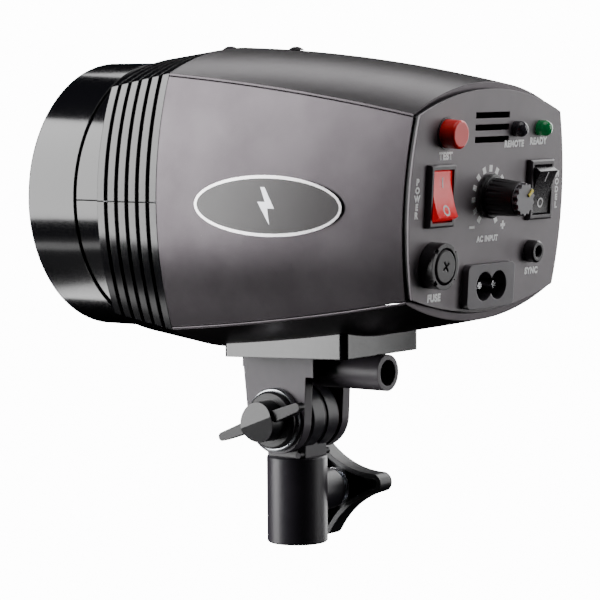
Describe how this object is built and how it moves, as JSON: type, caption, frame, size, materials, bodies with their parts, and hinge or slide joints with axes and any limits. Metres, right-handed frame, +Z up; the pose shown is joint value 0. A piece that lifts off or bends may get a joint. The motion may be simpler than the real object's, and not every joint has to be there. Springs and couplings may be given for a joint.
{
  "type": "monolight strobe",
  "caption": "Compact studio flash head with a ribbed front casing, open lamp hood, control panel at the rear and a tilting stand bracket with an umbrella tube.",
  "frame": {"origin": "centre of the mouth of the stand socket, on the socket axis", "axes": "+Z up the socket axis, -Y the way the flash fires, +Y out of the control panel, +X the side with the tilt knob"},
  "size_m": [0.1036, 0.184, 0.1812],
  "materials": {
    "black_satin": "satin black paint on die-cast metal",
    "black_gloss": "glossy black moulded plastic",
    "grey_cover": "satin warm grey paint, fine grain",
    "panel_grey": "satin dark grey with white print",
    "badge": "dark brown-black with a silver rim",
    "steel": "zinc plated",
    "black_steel": "black oxide",
    "chrome": "polished",
    "brass": "machined",
    "fibre": "friction fibre",
    "black_plastic": "black moulded plastic",
    "silver_dish": "satin polished",
    "aluminium": "folded sheet",
    "ceramic": "white steatite",
    "clear_glass": "clear",
    "board": "glass-fibre board",
    "capacitor": "sleeved can",
    "red_lens": "translucent red",
    "button": "red plastic",
    "rocker_black": "black plastic, white mark",
    "cap_grey": "grey plastic, yellow pointer",
    "green_lens": "green lamp",
    "clear_lens": "clear window"
  },
  "bodies": {
    "stand_clamp": {"socket_tube": "black_satin", "tilt_knuckle": "black_satin", "stop_pin": "black_steel", "friction_discs": "fibre", "lock_insert": "brass"},
    "lock_screw": {"lock_screw": "steel"},
    "lock_knob": {"lock_collar": "chrome", "lock_knob": "black_plastic"},
    "tilt_insert": {"tilt_insert": "brass"},
    "tilt_knob": {"tilt_knob": "black_plastic"},
    "power_rocker": {"power_rocker": "red_lens"},
    "model_rocker": {"model_rocker": "rocker_black"},
    "test_button": {"test_button": "button"},
    "dial": {"dial_shaft": "steel", "dial_knob": "black_plastic", "dial_cap": "cap_grey"},
    "fuse_link": {"fuse_link": "clear_glass"},
    "fuse_cap": {"fuse_cap": "black_plastic", "fuse_carrier": "black_plastic"},
    "head": {"foot_plate": "black_gloss", "tilt_bracket": "black_satin", "foot_screws": "steel", "tilt_bolt": "black_steel", "tilt_washer": "steel", "upper_shell": "grey_cover", "lower_shell": "grey_cover", "side_cover_right": "grey_cover", "side_cover_left": "grey_cover", "side_badges": "badge", "top_screws": "black_steel", "front_casing_upper": "black_gloss", "front_casing_lower": "black_gloss", "reflector_hood": "black_gloss", "reflector_dish": "silver_dish", "bulkhead": "aluminium", "lamp_base": "ceramic", "flash_tube": "clear_glass", "lamp_socket": "ceramic", "modelling_lamp": "clear_glass", "chassis": "aluminium", "capacitors": "capacitor", "main_board": "board", "trigger_coil": "capacitor", "rear_panel": "panel_grey", "panel_seal": "black_plastic", "power_switch_body": "black_plastic", "model_switch_body": "black_plastic", "test_switch": "black_plastic", "dial_control": "steel", "fuse_holder": "black_plastic", "inlet_body": "black_plastic", "inlet_pins": "chrome", "sync_jack": "black_plastic", "sensor_window": "clear_lens", "ready_lamp": "green_lens"}
  },
  "joints": [
    {"name": "head_tilt", "type": "hinge", "parent": "stand_clamp", "child": "head", "pos_m": [0, 0.001, 0.046], "axis": [1, 0, 0], "range_deg": [-80, 75]},
    {"name": "lock_screw_travel", "type": "slide", "parent": "stand_clamp", "child": "lock_screw", "axis": [-1, 0, 0], "range_m": [-0.0025, 0.0025]},
    {"name": "lock_knob_turn", "type": "hinge", "parent": "lock_screw", "child": "lock_knob", "pos_m": [-0.026, 0, 0.017], "axis": [-1, 0, 0], "range_deg": [-718, 718]},
    {"name": "tilt_insert_travel", "type": "slide", "parent": "head", "child": "tilt_insert", "axis": [1, 0, 0], "range_m": [0, 0.00126]},
    {"name": "tilt_knob_turn", "type": "hinge", "parent": "tilt_insert", "child": "tilt_knob", "pos_m": [0.02, 0.001, 0.046], "axis": [1, 0, 0], "range_deg": [0, 360]},
    {"name": "power_rocker_tip", "type": "hinge", "parent": "head", "child": "power_rocker", "pos_m": [0.0308, 0.08223, 0.12835], "axis": [1, 0, 0], "range_deg": [-24, 0]},
    {"name": "model_rocker_tip", "type": "hinge", "parent": "head", "child": "model_rocker", "pos_m": [-0.0308, 0.08223, 0.12835], "axis": [1, 0, 0], "range_deg": [0, 24]},
    {"name": "test_button_press", "type": "slide", "parent": "head", "child": "test_button", "axis": [0, -0.9981, 0.061], "range_m": [0, 0.0022], "stiffness_N_per_m": 400, "springref_m": -0.002},
    {"name": "power_dial_turn", "type": "hinge", "parent": "head", "child": "dial", "pos_m": [0.0002, 0.09114, 0.12661], "axis": [0, 0.9981, -0.061], "range_deg": [-200, 100]},
    {"name": "fuse_pull", "type": "slide", "parent": "head", "child": "fuse_link", "axis": [0, 0.9981, -0.061], "range_m": [0, 0.032]},
    {"name": "fuse_cap_turn", "type": "hinge", "parent": "fuse_link", "child": "fuse_cap", "pos_m": [0.033, 0.08582, 0.10509], "axis": [0, 0.9981, -0.061], "range_deg": [0, 45]}
  ],
  "couplings": [
    {"joint": "lock_screw_travel", "follows": "lock_knob_turn", "m_per_rad": 0.00019894},
    {"joint": "tilt_insert_travel", "follows": "tilt_knob_turn", "m_per_rad": 0.00019894}
  ]
}
